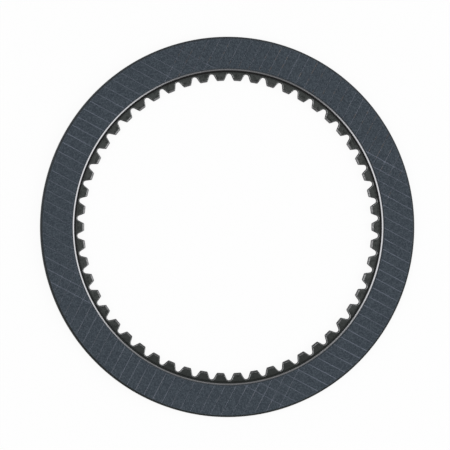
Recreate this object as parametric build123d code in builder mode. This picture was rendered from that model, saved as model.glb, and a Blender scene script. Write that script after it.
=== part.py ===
"""Internally splined friction disc of an oil-immersed clutch: a steel core plate with a facing on each side.

Frame: millimetres, origin at the centre of the core plate, +Z along the disc's axis out of its front face.
One tooth of the spline is centred on +X. Radial sizes stack up outwards from the spline's pitch circle.
"""

from math import cos, pi, radians, sin, tan
import os

from build123d import *

# Spline: teeth around the inside of the core plate, with fully rounded roots
tooth_count = 54
module = 3.175
pressure_angle = 25.0
tooth_thickness = 5.5  # along the pitch circle
tip_height = 1.4  # of the teeth, inwards from the pitch circle
root_round = 1.6
lead_in_width = 1.25  # chamfer on the tooth tips, measured across the face
lead_in_depth = 0.45  # the same chamfer, measured along the axis

# Core plate, listed outwards from the tooth roots
core_thickness = 3.0
land_width = 1.8  # plain steel between the tooth roots and the bevel
land_recess = 0.45  # of the land and the teeth, which are turned thinner from both sides
bevel_width = 1.1  # slopes from the land up to the core's face
ledge_width = 0.35  # flat steel between the bevel and the facing
rim_width = 1.1  # bare steel outside the facing

# Friction facings
facing_width = 16.95  # from the inner edge to the outer edge
facing_thickness = 1.0
groove_pitch = 5.67
groove_width = 0.6
groove_depth = 0.4
groove_angle = -28.0  # of the first set of grooves, turned from +X towards +Y
groove_count = 28
cross_groove_count = 27  # the second set runs square to the first
cross_groove_offset = 1.0  # of the second set's middle groove from the axis

pitch_radius = tooth_count * module / 2
half_pitch_angle = pi / tooth_count
flank_angle = tooth_thickness / 2 / pitch_radius + radians(pressure_angle)  # from the middle line of the tooth
flank_slope = flank_angle - half_pitch_angle  # from the middle line of the space beside it
flank_meet_radius = pitch_radius * sin(radians(pressure_angle)) / sin(flank_slope)

tip_radius = pitch_radius - tip_height
root_radius = flank_meet_radius - root_round / sin(flank_slope) + root_round
land_radius = root_radius + land_width
bevel_radius = land_radius + bevel_width
facing_inner_radius = bevel_radius + ledge_width
facing_outer_radius = facing_inner_radius + facing_width
core_radius = facing_outer_radius + rim_width
face_height = core_thickness / 2
land_height = face_height - land_recess

os.makedirs("parts", exist_ok=True)

# One tooth, the root above it and the land behind them: one step of the pattern. The flanks are straight, along
# the tangents to their involutes at the pitch circle, and the tip is flat, both within 0.06 mm of the curved form.
root_center = Vector(root_radius - root_round, 0).rotate(Axis.Z, 180 / tooth_count)
flank_root = root_center + Vector(sin(flank_angle), -cos(flank_angle)) * root_round
flank_tip = flank_root - Vector(1, tan(flank_angle)) * (flank_root.X - tip_radius)
lower_root = Vector(flank_root.X, -flank_root.Y)
lower_tip = Vector(flank_tip.X, -flank_tip.Y)
lower_land = lower_root.normalized() * land_radius
next_root = lower_root.rotate(Axis.Z, 360 / tooth_count)
next_land = lower_land.rotate(Axis.Z, 360 / tooth_count)

with BuildPart() as tooth:
    with BuildSketch(Plane.XY.offset(-land_height)):
        with BuildLine():
            Polyline(lower_land, lower_root, lower_tip, flank_tip, flank_root)
            RadiusArc(flank_root, next_root, root_round)
            Line(next_root, next_land)
            RadiusArc(lower_land, next_land, -land_radius)
        make_face()
    extrude(amount=2 * land_height)
    for side in (1, -1):
        with BuildSketch(Plane.XZ.offset(-tooth_thickness)):
            with BuildLine():
                Polyline(
                    (tip_radius + lead_in_width, side * land_height),
                    (tip_radius - lead_in_width, side * (land_height - 2 * lead_in_depth)),
                    (tip_radius - lead_in_width, side * land_height),
                    close=True,
                )
            make_face()
        extrude(amount=2 * tooth_thickness, mode=Mode.SUBTRACT)

# Core plate: one piece of steel, its turned body around the ring of teeth.
with BuildPart() as core_plate:
    half_section = [(land_radius, land_height), (bevel_radius, face_height), (core_radius, face_height)]
    with BuildSketch(Plane.XZ):
        with BuildLine():
            Polyline(*half_section, *[(radius, -height) for radius, height in reversed(half_section)], close=True)
        make_face()
    revolve(axis=Axis.Z)
    with PolarLocations(0, tooth_count):
        add(tooth.part)
core_plate.part.label = "core_plate"
export_step(core_plate.part, "parts/core_plate.step")

# Friction facings: flat rings bonded to both sides, cut across by two sets of straight oil grooves.
groove_direction = (cos(radians(groove_angle)), sin(radians(groove_angle)), 0)

for name, side in (("front_facing", 1), ("rear_facing", -1)):
    bond = Plane(origin=(0, 0, side * face_height), x_dir=groove_direction, z_dir=(0, 0, side))
    with BuildPart() as facing:
        with BuildSketch(bond):
            Circle(facing_outer_radius)
            Circle(facing_inner_radius, mode=Mode.SUBTRACT)
        extrude(amount=facing_thickness)
        with BuildSketch(bond.offset(facing_thickness - groove_depth)):
            with GridLocations(groove_pitch, groove_pitch, 1, groove_count):
                Rectangle(2 * facing_outer_radius, groove_width)
        extrude(amount=groove_depth, mode=Mode.SUBTRACT)
        with BuildSketch(bond.offset(facing_thickness - groove_depth)):
            with Locations((cross_groove_offset, 0)):
                with GridLocations(groove_pitch, groove_pitch, cross_groove_count, 1):
                    Rectangle(groove_width, 2 * facing_outer_radius)
        extrude(amount=groove_depth, mode=Mode.SUBTRACT)
    facing.part.label = name
    export_step(facing.part, f"parts/{name}.step")
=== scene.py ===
"""Internally splined friction disc of an oil-immersed clutch, dressed and lit for a studio picture.

The disc lies flat on a pale floor. Sizes are millimetres in the classes below and metres in the scene.
The core plate is modelled anew, with the rounded edges and the narrow worn groove that its plain node
lacks. The two facings keep their own shapes and get the finish of grooved friction paper.
"""

from __future__ import annotations

import logging
from dataclasses import dataclass
from enum import Enum
from math import cos, pi, radians, sin, tan
from typing import Any

import bmesh
import bpy
from mathutils import Matrix, Vector


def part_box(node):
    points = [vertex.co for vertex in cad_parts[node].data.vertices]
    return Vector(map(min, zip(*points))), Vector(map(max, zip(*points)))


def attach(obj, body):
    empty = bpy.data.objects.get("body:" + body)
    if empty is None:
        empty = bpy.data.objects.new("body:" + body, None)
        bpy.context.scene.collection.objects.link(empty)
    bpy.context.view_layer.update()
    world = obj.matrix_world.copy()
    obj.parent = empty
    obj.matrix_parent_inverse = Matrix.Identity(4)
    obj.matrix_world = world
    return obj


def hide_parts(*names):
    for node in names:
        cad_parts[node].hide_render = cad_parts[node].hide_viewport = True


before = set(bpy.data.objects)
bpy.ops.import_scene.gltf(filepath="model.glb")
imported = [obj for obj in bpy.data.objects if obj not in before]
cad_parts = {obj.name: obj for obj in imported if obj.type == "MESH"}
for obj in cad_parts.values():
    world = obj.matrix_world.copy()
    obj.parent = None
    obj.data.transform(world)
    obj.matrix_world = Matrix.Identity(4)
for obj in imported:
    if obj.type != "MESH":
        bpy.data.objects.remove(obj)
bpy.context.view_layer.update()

MM = 0.001
log = logging.getLogger("clutch_disc")

Colour = tuple[float, float, float]
Point = tuple[float, float, float]
Ramp = tuple[float, float]
Steps = tuple[float, ...]

WHITE: Colour = (1.0, 1.0, 1.0)


class Face(Enum):
    """The two sides of the disc, by the node of the facing on each."""

    FRONT = "front_facing"
    REAR = "rear_facing"


# Shader maths


@dataclass(frozen=True)
class Signal:
    """A number that a node gives at each point, on which Python's arithmetic adds the matching nodes.

    It also stands for a node's colour, vector or shader, which are only passed on.
    """

    tree: NodeTree
    socket: bpy.types.NodeSocket

    def _maths(self, operation: str, first: Any, second: Any = None) -> Signal:
        """Add a Math node.

        Args:
            operation: Name of the node's operation.
            first: First operand, a signal or a constant.
            second: Second operand, where the operation has one.

        Returns:
            The result as a signal.
        """
        operands = [first] if second is None else [first, second]
        return self.tree.node("ShaderNodeMath", {"operation": operation}, dict(enumerate(operands)))

    def __add__(self, other: Any) -> Signal:
        """Sum."""
        return self._maths("ADD", self, other)

    def __radd__(self, other: Any) -> Signal:
        """Sum with a constant."""
        return self._maths("ADD", other, self)

    def __sub__(self, other: Any) -> Signal:
        """Difference."""
        return self._maths("SUBTRACT", self, other)

    def __rsub__(self, other: Any) -> Signal:
        """Difference from a constant."""
        return self._maths("SUBTRACT", other, self)

    def __mul__(self, other: Any) -> Signal:
        """Product."""
        return self._maths("MULTIPLY", self, other)

    def __rmul__(self, other: Any) -> Signal:
        """Product with a constant."""
        return self._maths("MULTIPLY", other, self)

    def __truediv__(self, other: Any) -> Signal:
        """Quotient."""
        return self._maths("DIVIDE", self, other)

    def __pow__(self, other: Any) -> Signal:
        """Power."""
        return self._maths("POWER", self, other)

    def __abs__(self) -> Signal:
        """Magnitude."""
        return self._maths("ABSOLUTE", self)

    def larger(self, other: Any) -> Signal:
        """The larger of this and another value."""
        return self._maths("MAXIMUM", self, other)

    def step(self, start: float, end: float) -> Signal:
        """Rise smoothly from 0 to 1.

        Args:
            start: Value at which the result leaves 0.
            end: Value at which it reaches 1. It may be below start.

        Returns:
            The mask, clamped between 0 and 1.
        """
        settings = {"interpolation_type": "SMOOTHSTEP"}
        if start <= end:
            return self.tree.node("ShaderNodeMapRange", settings, {"Value": self, 1: start, 2: end})
        return 1 - self.tree.node("ShaderNodeMapRange", settings, {"Value": self, 1: end, 2: start})

    def band(self, start: float, end: float, blur: float) -> Signal:
        """Mask that is 1 between two values and fades out over a blur on both sides."""
        return self.step(start - blur, start + blur) * self.step(end + blur, end - blur)


@dataclass(frozen=True)
class NodeTree:
    """The node tree of a material or of the world."""

    tree: bpy.types.NodeTree

    def node(
        self, kind: str, settings: dict[str, Any], inputs: dict[Any, Any], output: Any = 0
    ) -> Signal | None:
        """Add any node.

        Args:
            kind: Type name of the node.
            settings: Properties that are set first.
            inputs: Values or signals by the name or number of the node's sockets.
            output: Name or number of the socket that is returned, or None for a node that ends the tree.

        Returns:
            The chosen output as a signal, if there is one.
        """
        node = self.tree.nodes.new(kind)
        for name, value in settings.items():
            setattr(node, name, value)
        for name, value in inputs.items():
            if isinstance(value, Signal):
                self.tree.links.new(value.socket, node.inputs[name])
            elif isinstance(value, tuple) and node.inputs[name].type == "RGBA":
                node.inputs[name].default_value = (*value, 1.0)
            else:
                node.inputs[name].default_value = value
        return Signal(self, node.outputs[output]) if output is not None else None

    def part(self, vector: Signal, axis: str) -> Signal:
        """One coordinate of a vector, named X, Y or Z."""
        return self.node("ShaderNodeSeparateXYZ", {}, {"Vector": vector}, axis)

    def vector(self, x: Any, y: Any, z: Any) -> Signal:
        """Vector from three values or signals."""
        return self.node("ShaderNodeCombineXYZ", {}, {"X": x, "Y": y, "Z": z})

    def noise(self, vector: Signal, grain: float, detail: float = 2.0, roughness: float = 0.5) -> Signal:
        """Soft random variation.

        Args:
            vector: Coordinates in metres.
            grain: Size of one blotch in millimetres.
            detail: Octaves of finer variation.
            roughness: Strength of each finer octave.

        Returns:
            A value around 0.5.
        """
        inputs = {"Vector": vector, "Scale": 1 / (grain * MM), "Detail": detail, "Roughness": roughness}
        return self.node("ShaderNodeTexNoise", {}, inputs)

    def blend(self, under: Any, over: Any, share: Any) -> Signal:
        """Mix two colours.

        Args:
            under: Colour or signal at a share of 0.
            over: Colour or signal at a share of 1.
            share: Value or signal between 0 and 1.

        Returns:
            The mixed colour.
        """
        return self.node("ShaderNodeMix", {"data_type": "RGBA"}, {0: share, 6: under, 7: over}, 2)

    def layers(self, base: Any, coats: list[tuple[Any, Signal]]) -> Signal:
        """Lay colours over a base, one after the other.

        Args:
            base: Colour or signal under them all.
            coats: Each colour, with the mask of where it lies.

        Returns:
            The colour on top.
        """
        for colour, share in coats:
            base = self.blend(base, colour, share)
        return base

    def switch(self, first: Signal, second: Signal, share: Any) -> Signal:
        """Mix two shaders by a share between 0 and 1."""
        return self.node("ShaderNodeMixShader", {}, {0: share, 1: first, 2: second})

    def bump(self, height: Signal, relief: float) -> Signal:
        """Turn a height between 0 and 1 into a normal, for a relief in millimetres."""
        return self.node("ShaderNodeBump", {}, {"Height": height, "Distance": relief * MM, "Strength": 1.0})

    def surface(self, inputs: dict[str, Any]) -> Signal:
        """Principled surface with the given inputs."""
        return self.node("ShaderNodeBsdfPrincipled", {}, inputs)


@dataclass(frozen=True)
class Spot:
    """The shaded point: its place from the middle of the disc, in metres."""

    place: Signal
    x: Signal
    y: Signal
    z: Signal
    radius: Signal
    height: Signal

    @classmethod
    def of(cls, tree: NodeTree) -> Spot:
        """Find the shaded point.

        Args:
            tree: Tree to build in.

        Returns:
            The point, whose height is counted from the middle plane to both sides.
        """
        place = tree.node("ShaderNodeTexCoord", {}, {}, "Object")
        x, y, z = (tree.part(place, axis) for axis in "XYZ")
        return cls(place, x, y, z, (x * x + y * y) ** 0.5, abs(z))

    def beyond(self, start: float, end: float) -> Signal:
        """Mask that rises from one radius to another, in millimetres."""
        return self.radius.step(start * MM, end * MM)

    def ring(self, inner: float, outer: float, blur: float) -> Signal:
        """Mask of the ring between two radii, in millimetres."""
        return self.radius.band(inner * MM, outer * MM, blur * MM)


@dataclass(frozen=True)
class Fade:
    """A change across the disc, from nothing at its start to the full amount at its end, in metres."""

    start: float
    end: float
    amount: float

    def along(self, place: Signal) -> Signal:
        """Change at a place."""
        return place.step(self.start, self.end) * self.amount


@dataclass(frozen=True)
class Finish:
    """A surface finish: builds one material, shared by every piece that has it."""

    name: str

    def shade(self, tree: NodeTree) -> Signal:
        """Build the finish's nodes and return its shader."""
        raise NotImplementedError

    def material(self) -> bpy.types.Material:
        """Make the material, or find the one made before.

        Returns:
            The material.
        """
        made = bpy.data.materials.get(self.name)
        if made is None:
            made = bpy.data.materials.new(self.name)
            made.use_nodes = True
            made.node_tree.nodes.clear()
            tree = NodeTree(made.node_tree)
            tree.node("ShaderNodeOutputMaterial", {}, {"Surface": self.shade(tree)}, None)
        return made

    def dress(self, piece: bpy.types.Object) -> None:
        """Give a piece this finish and no other."""
        piece.data.materials.clear()
        piece.data.materials.append(self.material())


# Core plate


@dataclass(frozen=True)
class Spline:
    """Teeth around the inside of the core plate, in millimetres and degrees.

    The steps say where the points of the outline lie along each of its stretches, as shares of the stretch.
    """

    tooth_count: int = 54
    module: float = 3.175
    pressure_angle: float = 25.0
    tooth_thickness: float = 5.5
    tip_height: float = 1.4
    tip_corner: float = 0.65
    root_round: float = 1.6
    lead_in_width: float = 1.25
    lead_in_depth: float = 0.45

    tip_steps: Steps = (0.0, 0.6)
    corner_steps: Steps = (0.0, 0.25, 0.5, 0.75, 1.0)
    flank_steps: Steps = (0.35, 0.7)
    root_steps: Steps = (0.0, 0.15, 0.3, 0.45, 0.6, 0.8, 1.0)

    @property
    def half_pitch(self) -> float:
        """Angle from the middle of a tooth to the middle of the space beside it, in radians."""
        return pi / self.tooth_count

    @property
    def pitch_radius(self) -> float:
        """Radius of the pitch circle."""
        return self.tooth_count * self.module / 2

    @property
    def tip_radius(self) -> float:
        """Radius of the tooth tips."""
        return self.pitch_radius - self.tip_height

    @property
    def flank_angle(self) -> float:
        """Angle between a flank and the middle line of its tooth, in radians."""
        return self.tooth_thickness / 2 / self.pitch_radius + radians(self.pressure_angle)

    @property
    def root_centre_radius(self) -> float:
        """Radius on which the centres of the round roots lie."""
        slope = self.flank_angle - self.half_pitch
        meet = self.pitch_radius * sin(radians(self.pressure_angle)) / sin(slope)
        return meet - self.root_round / sin(slope)

    @property
    def root_radius(self) -> float:
        """Radius of the bottoms of the roots."""
        return self.root_centre_radius + self.root_round

    @property
    def lead_in_radius(self) -> float:
        """Radius at which the chamfer on the tips ends."""
        return self.tip_radius + self.lead_in_width

    def half_outline(self) -> list[tuple[Vector, Vector]]:
        """Outline from the middle of a tooth on +X to the middle of the space above it.

        Returns:
            Points, each with the direction that leads from it into the steel.
        """
        slope = self.flank_angle
        into_flank = Vector((sin(slope), -cos(slope)))
        root_centre = self.root_centre_radius * Vector((cos(self.half_pitch), sin(self.half_pitch)))
        flank_root = root_centre + into_flank * self.root_round
        flank_tip_y = flank_root.y - tan(slope) * (flank_root.x - self.tip_radius)
        corner_y = flank_tip_y - self.tip_corner * (1 - sin(slope)) / cos(slope)
        corner_centre = Vector((self.tip_radius + self.tip_corner, corner_y))
        outward = Vector((1.0, 0.0))
        points = [(Vector((self.tip_radius, corner_y * part)), outward) for part in self.tip_steps]
        for part in self.corner_steps:
            turn = (pi / 2 - slope) * part
            inward = Vector((cos(turn), -sin(turn)))
            points.append((corner_centre - inward * self.tip_corner, inward))
        flank_tip = points[-1][0]
        points += [(flank_tip.lerp(flank_root, part), into_flank) for part in self.flank_steps]
        for part in self.root_steps:
            turn = (slope - pi / 2) * (1 - part) + self.half_pitch * part
            inward = Vector((cos(turn), sin(turn)))
            points.append((root_centre + inward * self.root_round, inward))
        return points

    def outline(self) -> list[tuple[Vector, Vector]]:
        """Whole outline round the bore.

        Returns:
            Points, each with the direction into the steel, going once round.
        """
        half = self.half_outline()
        mirrored = [(Vector((p.x, -p.y)), Vector((n.x, -n.y))) for p, n in reversed(half[1:-1])]
        turned = []
        for tooth in range(self.tooth_count):
            turn = 2 * self.half_pitch * tooth
            for point, inward in mirrored + half:
                turned.append((spin(point, turn), spin(inward, turn)))
        return turned


def spin(point: Vector, turn: float) -> Vector:
    """Turn a flat vector about the axis by an angle in radians."""
    return Vector((point.x * cos(turn) - point.y * sin(turn), point.x * sin(turn) + point.y * cos(turn)))


@dataclass(frozen=True)
class CorePlate:
    """The steel core plate with its internal spline, worn groove, bevel and bare rim, in millimetres.

    The leads and lips are rows of points close beside an edge, which keep its shading crisp. The steps say
    where points lie along a round or a groove, as shares of it.
    """

    spline: Spline
    rim_radius: float
    face_height: float
    land_width: float = 1.8
    land_recess: float = 0.45
    bevel_width: float = 1.1
    groove_width: float = 0.95
    groove_depth: float = 0.42
    edge_round: float = 0.62
    rim_round: float = 0.3

    groove_lead: float = 0.12
    groove_lip: float = 0.03
    foot_lip: float = 0.01
    bevel_lead: tuple[float, float] = (0.06, 0.03)
    crest_lip: tuple[float, float] = (0.08, 0.04)
    face_lead: float = 0.1
    land_leads: Steps = (-0.1, 0.1, 1.0, 2.0)
    root_lead: float = 0.5

    edge_steps: Steps = (0.0, 0.25, 0.5, 0.7, 0.85, 1.0)
    groove_steps: Steps = (0.15, 0.4, 0.7, 0.92)
    rim_steps: Steps = (0.0, 0.35, 0.7, 1.0)

    sharp_angle: float = 38.0
    weld_distance: float = 0.002
    collapse_distance: float = 0.001

    @property
    def land_height(self) -> float:
        """Height of the teeth and the land above the middle of the plate."""
        return self.face_height - self.land_recess

    @property
    def bevel_foot_radius(self) -> float:
        """Radius where the bevel starts."""
        return self.spline.root_radius + self.land_width

    @property
    def groove_radius(self) -> float:
        """Inner radius of the narrow groove at the foot of the bevel."""
        return self.bevel_foot_radius - self.groove_width

    @property
    def bevel_top_radius(self) -> float:
        """Radius where the bevel meets the face of the plate."""
        return self.bevel_foot_radius + self.bevel_width

    def top_height(self, radius: float) -> float:
        """Height of the toothed part's surface at a radius, lower on the chamfer of the tips."""
        fall = max(0.0, self.spline.lead_in_radius - radius) / self.spline.lead_in_width
        return self.land_height - self.spline.lead_in_depth * fall

    def turned_profile(self) -> list[tuple[float, float]]:
        """Section of everything outside the teeth.

        Returns:
            Radius and height of each point, going outwards.
        """
        groove, foot, crest = self.groove_radius, self.bevel_foot_radius, self.bevel_top_radius
        land, face = self.land_height, self.face_height
        points = [(groove - self.groove_lead, land), (groove - self.groove_lip, land - self.groove_lip)]
        for part in self.groove_steps:
            depth = self.groove_depth * sin(pi * part) ** 0.5
            points.append((groove + self.groove_width * part, land - depth))
        points.append((foot - self.foot_lip, land - self.foot_lip))
        points.append((foot + self.bevel_lead[0], land + self.bevel_lead[1]))
        points.append((crest - self.crest_lip[0], face - self.crest_lip[1]))
        points += [(crest, face), (crest + self.face_lead, face)]
        for part in self.rim_steps:
            turn = pi / 2 * part
            points.append((
                self.rim_radius - self.rim_round * (1 - sin(turn)),
                face - self.rim_round * (1 - cos(turn)),
            ))
        return points

    def section(self, point: Vector, inward: Vector, turned: list[tuple[float, float]]) -> list[Point]:
        """Front half of the section through one point of the outline.

        Args:
            point: Point of the tooth outline.
            inward: Direction from it into the steel.
            turned: Section outside the teeth.

        Returns:
            Points from the wall of the spline, over its rounded edge and out to the rim.
        """
        points = []
        for part in self.edge_steps:
            turn = pi / 2 * part
            flat = point + inward * self.edge_round * (1 - cos(turn))
            drop = self.edge_round * (1 - sin(turn))
            points.append((flat.x, flat.y, self.top_height(flat.length) - drop))
        inset = point + inward * self.edge_round
        out = inset.normalized()
        rows = [self.spline.lead_in_radius + lead for lead in self.land_leads]
        for radius in (*rows, self.spline.root_radius + self.root_lead):
            flat = out * max(radius, inset.length)
            points.append((flat.x, flat.y, self.top_height(flat.length)))
        points += [(out.x * radius, out.y * radius, height) for radius, height in turned]
        return points

    def mesh(self) -> bpy.types.Mesh:
        """Mesh the plate as sections set side by side round the axis.

        Returns:
            The closed mesh.
        """
        turned = self.turned_profile()
        sections = []
        for point, inward in self.spline.outline():
            front = self.section(point, inward, turned)
            rear = [(x, y, -z) for x, y, z in reversed(front)]
            sections.append(front + rear)
        size = len(sections[0])
        vertices = [tuple(value * MM for value in point) for section in sections for point in section]
        faces = []
        for index in range(len(sections)):
            here, after = index * size, (index + 1) % len(sections) * size
            for step in range(size):
                ahead = (step + 1) % size
                faces.append((here + step, here + ahead, after + ahead, after + step))
        mesh = bpy.data.meshes.new("core_plate_turned")
        mesh.from_pydata(vertices, [], faces)
        self.clean(mesh)
        return mesh

    def clean(self, mesh: bpy.types.Mesh) -> None:
        """Merge doubled points, drop collapsed faces and turn all faces outwards.

        Args:
            mesh: Mesh to clean in place.
        """
        work = bmesh.new()
        work.from_mesh(mesh)
        bmesh.ops.remove_doubles(work, verts=work.verts, dist=self.weld_distance * MM)
        bmesh.ops.dissolve_degenerate(work, edges=work.edges, dist=self.collapse_distance * MM)
        bmesh.ops.recalc_face_normals(work, faces=work.faces)
        work.to_mesh(mesh)
        work.free()

    def build(self, finish: Finish) -> None:
        """Make the plate, dress it and put it in place of the plain one.

        Args:
            finish: Its finish.
        """
        mesh = self.mesh()
        mesh.shade_smooth()
        mesh.set_sharp_from_angle(angle=radians(self.sharp_angle))
        plate = bpy.data.objects.new("splined_core", mesh)
        bpy.context.scene.collection.objects.link(plate)
        finish.dress(plate)
        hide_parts("core_plate")
        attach(plate, "root")
        log.info("splined core: %d teeth, %d faces", self.spline.tooth_count, len(mesh.polygons))


# Friction facings


@dataclass(frozen=True)
class GrooveSet:
    """Parallel oil grooves across a facing, the axis midway between two, in millimetres and degrees."""

    angle: float = -28.0
    pitch: float = 5.67
    width: float = 0.6
    edge_blur: float = 1.5

    def mask(self, tree: NodeTree, spot: Spot) -> Signal:
        """Mask that is 1 on the strips along which the grooves run.

        Args:
            tree: Tree to build in.
            spot: The shaded point.

        Returns:
            The mask.
        """
        turn = radians(self.angle)
        across = (spot.y * cos(turn) - spot.x * sin(turn)) / (self.pitch * MM)
        place = tree.node("ShaderNodeMath", {"operation": "FRACT"}, {0: across})
        half = self.width / self.pitch / 2
        return abs(place - 0.5).step(half * self.edge_blur, half)


@dataclass(frozen=True)
class Facing:
    """One of the two friction facings, which keeps its own shape."""

    face: Face

    def dress(self, finish: Finish) -> None:
        """Give the facing its finish."""
        finish.dress(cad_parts[self.face.value])
        log.info("%s dressed", self.face.value)


# Finishes


@dataclass(frozen=True, kw_only=True)
class FrictionPaper(Finish):
    """Matt blue-grey friction paper, fibrous and slightly blotched, paler on the floors of its grooves
    partly by painted light, and with a painted highlight along its outer edge.

    Sizes are millimetres, colours are linear, and the fades run across the disc in metres.
    """

    name: str = "friction_paper"
    outer_radius: float
    face_height: float
    width: float = 16.95
    grooves: GrooveSet = GrooveSet()
    groove_depth: float = 0.4
    wall_shares: Ramp = (0.3, 0.75)
    groove_margin: float = 0.1
    margin_blur: float = 0.05
    # Painted highlight along the outer edge of the facing: its margins about the outer radius, and their
    # blur
    highlit_edge: Ramp = (-0.35, 0.2)
    highlight_blur: float = 0.1

    # Colours
    paper: Colour = (0.0415, 0.0540, 0.0680)
    dark_fibre: Colour = (0.025, 0.035, 0.047)
    # Pale fibre of the paper, also the colour of the painted highlight along its outer edge
    pale_fibre_and_highlight: Colour = (0.066, 0.083, 0.100)
    # Groove floors, paler partly by dust and partly by painted light that makes up for the shade between
    # the groove walls; the cross floor is painted paler still, because the side lamps leave it deeper in
    # shade
    groove_floor: Colour = (0.168, 0.190, 0.238)
    cross_floor: Colour = (0.200, 0.226, 0.275)
    warm_fleck: Colour = (0.240, 0.195, 0.165)

    # Grain and gloss of the paper
    speckle_grain: float = 0.7
    speckle_share: float = 0.55
    fibre_grain: float = 0.42
    fibre_lean: float = 0.3
    fibre_length: float = 0.45
    fibre_turn: float = 0.2
    relief: float = 0.05
    roughness: float = 0.68
    roughness_spread: float = 0.25
    specular: float = 0.25
    dark_weave: Ramp = (0.51, 0.39)
    pale_weave: Ramp = (0.50, 0.62)
    # Painted highlight along the outer edge: the speckle it follows, and its strength
    highlight_speckle: Ramp = (0.35, 0.6)
    highlight_share: float = 0.6

    # Paleness of the groove floors, partly dust and partly painted light that makes up for the shade
    # between the groove walls: how strong it is, and how that changes over the disc
    wear_grain: float = 22.0
    wear: Ramp = (0.36, 0.60)
    least_wear: float = 0.6
    fleck_grain: float = 3.5
    flecks: Ramp = (0.50, 0.62)
    fleck_fade: Fade = Fade(-0.05, 0.05, 0.5)
    least_flecks: float = 0.15
    first_strength: float = 0.45
    first_right: Fade = Fade(-0.12, -0.03, 0.5)
    first_top: Fade = Fade(0.06, 0.085, -0.3)
    first_corner: Fade = Fade(-0.112, -0.13, 0.4)
    cross_strength: float = 0.6
    cross_bottom: Fade = Fade(0.0, -0.08, 0.25)
    cross_left: Fade = Fade(-0.075, -0.095, -0.25)
    cross_corner: Fade = Fade(0.115, 0.135, 0.22)

    def sunk(self, spot: Spot) -> Signal:
        """Mask of the groove floors.

        Args:
            spot: The shaded point.

        Returns:
            The mask, 0 on the face and on the edges of the facing.
        """
        top, depth = self.face_height * MM, self.groove_depth * MM
        start, end = (top - depth * share for share in self.wall_shares)
        inner, outer = self.outer_radius - self.width, self.outer_radius
        on_face = spot.ring(inner + self.groove_margin, outer - self.groove_margin, self.margin_blur)
        return spot.height.step(start, end) * on_face

    def dust_and_painted_light(self, tree: NodeTree, spot: Spot, first: Signal) -> Signal:
        """Paleness of the groove floors, partly pale dust and partly painted light that makes up for the
        shade between their walls, which differs between the sets and across the disc.

        Args:
            tree: Tree to build in.
            spot: The shaded point.
            first: Mask of the first set of grooves.

        Returns:
            A share between 0 and 1.
        """
        wear = tree.noise(spot.place, self.wear_grain).step(*self.wear)
        wear = wear * (1 - self.least_wear) + self.least_wear
        diagonal = spot.x + spot.y
        first_share = self.first_strength + self.first_right.along(diagonal)
        first_share = first_share + self.first_top.along(spot.y) + self.first_corner.along(diagonal)
        cross_share = self.cross_strength + self.cross_bottom.along(spot.y)
        cross_share = cross_share + self.cross_left.along(spot.x) + self.cross_corner.along(diagonal)
        return wear * (first_share * first + cross_share * (1 - first))

    def shade(self, tree: NodeTree) -> Signal:
        """Build the paper.

        Args:
            tree: Tree to build in.

        Returns:
            The shader.
        """
        spot = Spot.of(tree)
        along_fibre = tree.vector(
            spot.x + self.fibre_lean * spot.y,
            self.fibre_length * spot.y - self.fibre_turn * spot.x,
            spot.z,
        )
        speckle = tree.noise(spot.place, self.speckle_grain, detail=1.0)
        fibre = tree.noise(along_fibre, self.fibre_grain, detail=1.0)
        weave = speckle * self.speckle_share + fibre * (1 - self.speckle_share)

        first = self.grooves.mask(tree, spot)
        flecked = tree.noise(spot.place, self.fleck_grain, detail=1.0).step(*self.flecks)
        flecked = flecked * (self.fleck_fade.along(spot.y) + self.least_flecks)
        cross = tree.blend(self.cross_floor, self.warm_fleck, flecked)
        floor = tree.blend(cross, self.groove_floor, first)
        # Painted highlight: paler speckles along the outer edge of the facing, where its lip catches the
        # light
        edge_start, edge_end = (self.outer_radius + margin for margin in self.highlit_edge)
        rubbed_and_highlight = spot.ring(edge_start, edge_end, self.highlight_blur) * speckle.step(*self.highlight_speckle)
        colour = tree.layers(self.paper, [
            (self.dark_fibre, weave.step(*self.dark_weave)),
            (self.pale_fibre_and_highlight, weave.step(*self.pale_weave)),
            # Groove floors, lifted partly by painted light
            (floor, self.sunk(spot) * self.dust_and_painted_light(tree, spot, first)),
            (self.pale_fibre_and_highlight, rubbed_and_highlight * self.highlight_share),
        ])
        return tree.surface({
            "Base Color": colour,
            "Roughness": weave * self.roughness_spread + self.roughness,
            "Specular IOR Level": self.specular,
            "Normal": tree.bump(weave, self.relief),
        })


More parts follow.
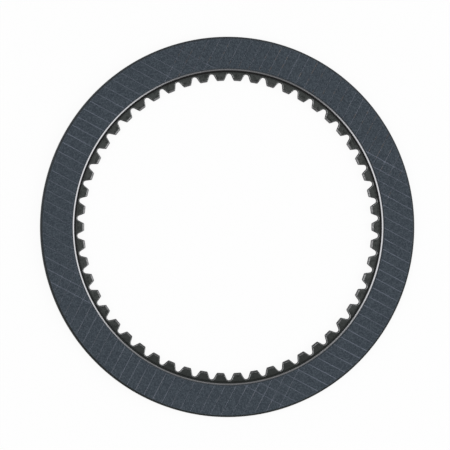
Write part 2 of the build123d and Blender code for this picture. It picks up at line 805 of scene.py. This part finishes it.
@dataclass(frozen=True, kw_only=True)
class OiledSteel(Finish):
    """Dark oiled steel of the core plate, worn bright on its bevel and on the edges of its teeth, with
    painted shade on its walls, in its narrow groove, beside that groove and on the edges that face down the
    disc.

    Sizes and margins are millimetres, and the fades run down the disc in metres. A slope is how squarely
    the surface faces up or down, from 0 on a wall to 1 on a flat.
    """

    name: str = "oiled_steel"
    plate: CorePlate
    rim_start: float

    # Colours
    dark: Colour = (0.016, 0.019, 0.018)
    plain: Colour = (0.044, 0.049, 0.047)
    pale: Colour = (0.082, 0.088, 0.086)
    bare: Colour = (0.41, 0.412, 0.428)
    # Black of painted shade, in the narrow groove and on the edges that face down the disc
    shade_black: Colour = (0.008, 0.008, 0.008)
    # Painted shade on the walls of the teeth and their edges
    wall_shade: Colour = (0.012, 0.013, 0.013)
    rubbed_and_highlight: Colour = (0.22, 0.22, 0.225)
    polished: Colour = (0.33, 0.335, 0.34)
    ledge: Colour = (0.058, 0.068, 0.080)

    # Grain and gloss
    mottle_grain: float = 1.7
    fine_grain: float = 0.45
    mottle_share: float = 0.6
    oiled_relief: float = 0.035
    oiled_roughness: float = 0.50
    oiled_spread: float = 0.25
    oiled_specular: float = 0.22
    bare_relief: float = 0.005
    bare_roughness: float = 0.16
    bare_spread: float = 0.2

    # Mottle of the oil, painted shade in the narrow groove and on the land beside it, and a darker lower
    # part and rim of the disc
    dark_mottle: Ramp = (0.52, 0.36)
    pale_mottle: Ramp = (0.52, 0.68)
    pale_share: float = 0.6
    # Painted shade on the land beside the narrow groove, at the foot of the bevel's step: its width and
    # strength
    groove_shade_width: float = 1.6
    groove_shade_share: float = 0.55
    bottom: Fade = Fade(-0.03, -0.08, 0.7)
    # Painted shade in the groove is blackest above this ramp and eases below it
    lower_half: Ramp = (0.03, -0.07)
    rim_fade: Fade = Fade(0.03, -0.07, 0.4)
    rim_share: float = 0.55
    rim_blur: float = 0.2
    ledge_blur: float = 0.15
    groove_blur: float = 0.06

    # Painted shade: dark walls, and black on the edges that face down the disc
    wall_shade_slope: Ramp = (0.88, 0.72)
    downward_shade_slope: Ramp = (0.998, 0.985)
    downward_shade_side: Ramp = (-0.02, -0.06)
    chamfer_margins: Ramp = (0.05, -0.1)
    chamfer_bareness: float = 0.8

    # Bare metal on the tips and on the rounded edges
    tip_slopes: Ramp = (0.50, 0.972)
    tip_blur: float = 0.02
    scuff_grain: float = 0.9
    scuffs: Ramp = (0.30, 0.62)
    scuff_share: float = 0.65
    tip_share: float = 0.30
    tip_fade: Fade = Fade(-0.02, -0.07, -0.28)
    edge_slopes: Ramp = (0.86, 0.985)
    edge_blur: float = 0.01
    rub_grain: float = 2.5
    edge_rubs: Ramp = (0.3, 0.6)
    least_rub: float = 0.6
    groove_margin: float = 0.4
    tip_margins: Ramp = (0.1, 0.4)

    # Bright bevel with the marks of its turning
    bevel_margins: Ramp = (0.14, -0.23)
    bevel_blur: float = 0.03
    foot_blur: float = 0.05
    turning_grain: float = 0.6
    turning_crowding: float = 6.0
    turning_sweep: float = 0.01
    turning_marks: Ramp = (0.62, 0.36)
    turning_share: float = 0.35

    @property
    def bevel_ring(self) -> Ramp:
        """Radii between which the bevel is bright."""
        inner, outer = self.bevel_margins
        return self.plate.bevel_foot_radius + inner, self.plate.bevel_top_radius + outer

    def worn_edges(self, tree: NodeTree, spot: Spot, slope: Signal) -> Signal:
        """Mask of the rounded edges that are worn bare, apart from the groove and the chamfered tips.

        Args:
            tree: Tree to build in.
            spot: The shaded point.
            slope: Its slope.

        Returns:
            The mask.
        """
        groove = self.plate.groove_radius
        tip_start, tip_end = (self.plate.spline.lead_in_radius + margin for margin in self.tip_margins)
        worn = slope.band(*self.edge_slopes, self.edge_blur)
        worn = worn * spot.beyond(groove, groove - self.groove_margin) * spot.beyond(tip_start, tip_end)
        rubs = tree.noise(spot.place, self.rub_grain).step(*self.edge_rubs)
        return worn * (rubs * (1 - self.least_rub) + self.least_rub)

    def scuffed_tips(self, tree: NodeTree, spot: Spot, slope: Signal) -> Signal:
        """Share of bare metal on the slope of the tips, less of it at the bottom of the disc.

        Args:
            tree: Tree to build in.
            spot: The shaded point.
            slope: Its slope.

        Returns:
            The share.
        """
        scuffed = tree.noise(spot.place, self.scuff_grain, detail=3.0, roughness=0.7).step(*self.scuffs)
        share = scuffed * self.scuff_share + self.tip_fade.along(spot.y) + self.tip_share
        return slope.band(*self.tip_slopes, self.tip_blur) * share

    def bright_bevel(self, spot: Spot) -> Signal:
        """Mask of the bright bevel, on the part of it that stands above the land."""
        foot = self.plate.land_height
        above = spot.height.step((foot - self.foot_blur) * MM, (foot + self.foot_blur) * MM)
        return spot.ring(*self.bevel_ring, self.bevel_blur) * above

    def oiled_colour(self, tree: NodeTree, spot: Spot, coats: list[tuple[Colour, Signal]]) -> Signal:
        """Colour of the oiled surface.

        Args:
            tree: Tree to build in.
            spot: The shaded point.
            coats: Colours of the mottle and of the walls, with their masks.

        Returns:
            The colour.
        """
        groove = self.plate.groove_radius
        bevel_start, bevel_end = self.bevel_ring
        rim = spot.beyond(self.rim_start, self.rim_start + self.rim_blur)
        # Painted shade in the narrow groove, blackest on the upper half of the disc, where the top lamp
        # leaves the foot of the bevel in shade
        groove_floor = tree.blend(self.shade_black, self.dark, spot.y.step(*self.lower_half))
        return tree.layers(self.plain, [
            *coats,
            (self.ledge, spot.beyond(bevel_end, bevel_end + self.ledge_blur)),
            (groove_floor, spot.ring(groove, bevel_start, self.groove_blur)),
            (self.dark, rim * (self.rim_fade.along(spot.y) + self.rim_share)),
        ])

    def shade(self, tree: NodeTree) -> Signal:
        """Build the steel.

        Args:
            tree: Tree to build in.

        Returns:
            The shader.
        """
        spot = Spot.of(tree)
        normal = tree.node("ShaderNodeNewGeometry", {}, {}, "Normal")
        slope = abs(tree.part(normal, "Z"))
        angle = tree.node("ShaderNodeMath", {"operation": "ARCTAN2"}, {0: spot.y, 1: spot.x})
        round_axis = tree.vector(
            spot.radius * self.turning_crowding, angle * self.turning_sweep, spot.height
        )
        turning = tree.noise(round_axis, self.turning_grain, detail=1.0)
        mottle = tree.noise(spot.place, self.mottle_grain, detail=4.0, roughness=0.65)
        fine = tree.noise(spot.place, self.fine_grain, roughness=0.6)

        groove = self.plate.groove_radius
        chamfer_start, chamfer_end = (
            self.plate.spline.lead_in_radius + margin for margin in self.chamfer_margins
        )
        chamfer = spot.beyond(chamfer_start, chamfer_end)
        # Painted shade on the slightly sloping edges that face down the disc, away from the top lamp
        downward_shade = tree.part(normal, "Y").step(*self.downward_shade_side) * slope.step(*self.downward_shade_slope)
        colour = self.oiled_colour(tree, spot, [
            (self.dark, mottle.step(*self.dark_mottle)),
            (self.pale, (mottle * 0.5 + fine * 0.5).step(*self.pale_mottle) * self.pale_share),
            # Painted shade on the land beside the groove
            (self.dark, spot.beyond(groove - self.groove_shade_width, groove) * self.groove_shade_share),
            (self.dark, self.bottom.along(spot.y)),
            # Painted shade: the walls are darkened, less on the chamfered tips
            (self.wall_shade, slope.step(*self.wall_shade_slope) * (1 - chamfer * self.chamfer_bareness)),
            (self.shade_black, downward_shade * (1 - chamfer)),
        ])
        worn = self.worn_edges(tree, spot, slope)
        tips = chamfer * self.scuffed_tips(tree, spot, slope)
        bevel = self.bright_bevel(spot)
        turned = tree.blend(self.bare, self.rubbed_and_highlight, turning.step(*self.turning_marks) * self.turning_share)
        bright = tree.blend(tree.blend(self.rubbed_and_highlight, self.polished, worn), turned, bevel)
        oil_grain = mottle * self.mottle_share + fine * (1 - self.mottle_share)
        oiled = tree.surface({
            "Base Color": colour,
            "Roughness": mottle * self.oiled_spread + self.oiled_roughness,
            "Specular IOR Level": self.oiled_specular,
            "Normal": tree.bump(oil_grain, self.oiled_relief),
        })
        metal = tree.surface({
            "Base Color": bright,
            "Roughness": turning * self.bare_spread + self.bare_roughness,
            "Metallic": 1.0,
            "Normal": tree.bump(turning, self.bare_relief),
        })
        return tree.switch(oiled, metal, bevel.larger(tips).larger(worn))


@dataclass(frozen=True)
class PaleFloor(Finish):
    """White studio floor, which keeps the soft shadow of what lies on it.

    The lift is the share of plain white in what the camera and the reflections see of it.
    """

    name: str = "pale_floor"
    colour: Colour = (0.95, 0.95, 0.95)
    roughness: float = 0.9
    lift: float = 0.91

    def shade(self, tree: NodeTree) -> Signal:
        """Build the floor.

        Args:
            tree: Tree to build in.

        Returns:
            The shader.
        """
        seen = tree.node("ShaderNodeLightPath", {}, {}, "Is Camera Ray")
        for ray in ("Is Glossy Ray", "Is Transmission Ray"):
            seen = seen.larger(tree.node("ShaderNodeLightPath", {}, {}, ray))
        painted = tree.surface({
            "Base Color": self.colour,
            "Roughness": self.roughness,
            "Specular IOR Level": 0.0,
        })
        glow = tree.node("ShaderNodeEmission", {}, {"Color": WHITE, "Strength": 1.0})
        return tree.switch(painted, glow, seen * self.lift)


# Studio


@dataclass(frozen=True)
class Softbox:
    """A soft lamp that points at the middle of the disc, in metres.

    Its direction is an azimuth and an elevation in degrees, and its size is a width and a height.
    """

    name: str
    direction: tuple[float, float]
    distance: float
    size: tuple[float, float]
    radiance: float

    def build(self) -> None:
        """Hang the lamp."""
        light = bpy.data.lights.new(self.name, "AREA")
        light.shape = "RECTANGLE"
        light.size, light.size_y = self.size
        light.energy = self.radiance * pi * light.size * light.size_y
        lamp = bpy.data.objects.new(self.name, light)
        azimuth, elevation = (radians(angle) for angle in self.direction)
        away = Vector((cos(azimuth) * cos(elevation), sin(azimuth) * cos(elevation), sin(elevation)))
        lamp.location = away * self.distance
        lamp.rotation_euler = away.to_track_quat("Z", "Y").to_euler()
        bpy.context.scene.collection.objects.link(lamp)


@dataclass(frozen=True)
class Studio:
    """Pale floor, soft lamps and the camera above the disc, in metres and degrees."""

    floor_height: float
    floor_reach: float = 4.0
    floor_gap: float = 0.1 * MM
    ambient: float = 0.33
    horizon: float = 14.0
    horizon_blur: float = 6.0
    tilt: float = 10.6
    tilt_direction: float = 179.6
    target: tuple[float, float] = (-2.29 * MM, 1.12 * MM)
    distance: float = 2.0
    lens: float = 277.3
    clip: tuple[float, float] = (0.01, 50.0)
    lamps: tuple[Softbox, ...] = (
        Softbox("right_softbox", (-7.0, 38.0), distance=1.3, size=(1.45, 0.9), radiance=1.66),
        Softbox("left_softbox", (189.0, 52.0), distance=1.3, size=(1.35, 0.9), radiance=1.53),
        Softbox("top_softbox", (90.0, 76.0), distance=1.5, size=(1.3, 0.7), radiance=1.45),
    )

    def build(self, floor: Finish) -> None:
        """Set up floor, lamps, world and camera.

        Args:
            floor: Finish of the floor.
        """
        self.build_floor(floor)
        for lamp in self.lamps:
            lamp.build()
        self.build_world()
        self.build_camera()
        log.info("studio: floor, %d lamps and camera", len(self.lamps))

    def build_floor(self, finish: Finish) -> None:
        """Lay the floor, a hair below the disc.

        Args:
            finish: Its finish.
        """
        side, height = self.floor_reach, self.floor_height - self.floor_gap
        corners = [(-side, -side), (side, -side), (side, side), (-side, side)]
        mesh = bpy.data.meshes.new("floor")
        mesh.from_pydata([(x, y, height) for x, y in corners], [], [(0, 1, 2, 3)])
        ground = bpy.data.objects.new("floor", mesh)
        bpy.context.scene.collection.objects.link(ground)
        finish.dress(ground)

    def build_world(self) -> None:
        """Fill the room with even light, above a white horizon that the floor runs into."""
        world = bpy.data.worlds.new("studio_air")
        world.use_nodes = True
        world.node_tree.nodes.clear()
        tree = NodeTree(world.node_tree)
        direction = tree.node("ShaderNodeTexCoord", {}, {}, "Generated")
        start, end = (sin(radians(self.horizon + blur)) for blur in (self.horizon_blur, -self.horizon_blur))
        low = tree.part(direction, "Z").step(start, end)
        light = tree.blend((self.ambient,) * 3, WHITE, low)
        air = tree.node("ShaderNodeBackground", {}, {"Color": light, "Strength": 1.0})
        tree.node("ShaderNodeOutputWorld", {}, {"Surface": air}, None)
        bpy.context.scene.world = world

    def build_camera(self) -> None:
        """Put the camera nearly above the disc, leaning a little to the left."""
        view = bpy.data.cameras.new("camera")
        view.lens = self.lens
        view.clip_start, view.clip_end = self.clip
        camera = bpy.data.objects.new("camera", view)
        tilt, direction = radians(self.tilt), radians(self.tilt_direction)
        back = Vector((sin(tilt) * cos(direction), sin(tilt) * sin(direction), cos(tilt)))
        camera.location = Vector((*self.target, 0.0)) + back * self.distance
        right = Vector((0.0, 1.0, 0.0)).cross(back).normalized()
        upward = back.cross(right)
        camera.rotation_mode = "QUATERNION"
        camera.rotation_quaternion = Matrix((right, upward, back)).transposed().to_quaternion()
        bpy.context.scene.collection.objects.link(camera)
        bpy.context.scene.camera = camera


def reach(node: str) -> tuple[float, float]:
    """How far a round node reaches in the frame.

    Args:
        node: Name of the node.

    Returns:
        Its smallest reach from the axis and its upper height, in millimetres.
    """
    low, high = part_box(node)
    return min(high.x, high.y, -low.x, -low.y) / MM, high.z / MM


def main() -> None:
    """Build the disc's pieces in order, then the studio around them."""
    logging.basicConfig(level=logging.INFO, format="%(name)s: %(message)s")
    rim_radius, core_height = reach("core_plate")
    facing_radius, facing_height = reach("front_facing")
    plate = CorePlate(Spline(), rim_radius, core_height)
    plate.build(OiledSteel(plate=plate, rim_start=facing_radius))
    paper = FrictionPaper(outer_radius=facing_radius, face_height=facing_height)
    for face in Face:
        Facing(face).dress(paper)
    Studio(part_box("rear_facing")[0].z).build(PaleFloor())
    bpy.context.scene.view_settings.view_transform = "Standard"
    bpy.context.view_layer.update()


if __name__ == "__main__":
    main()
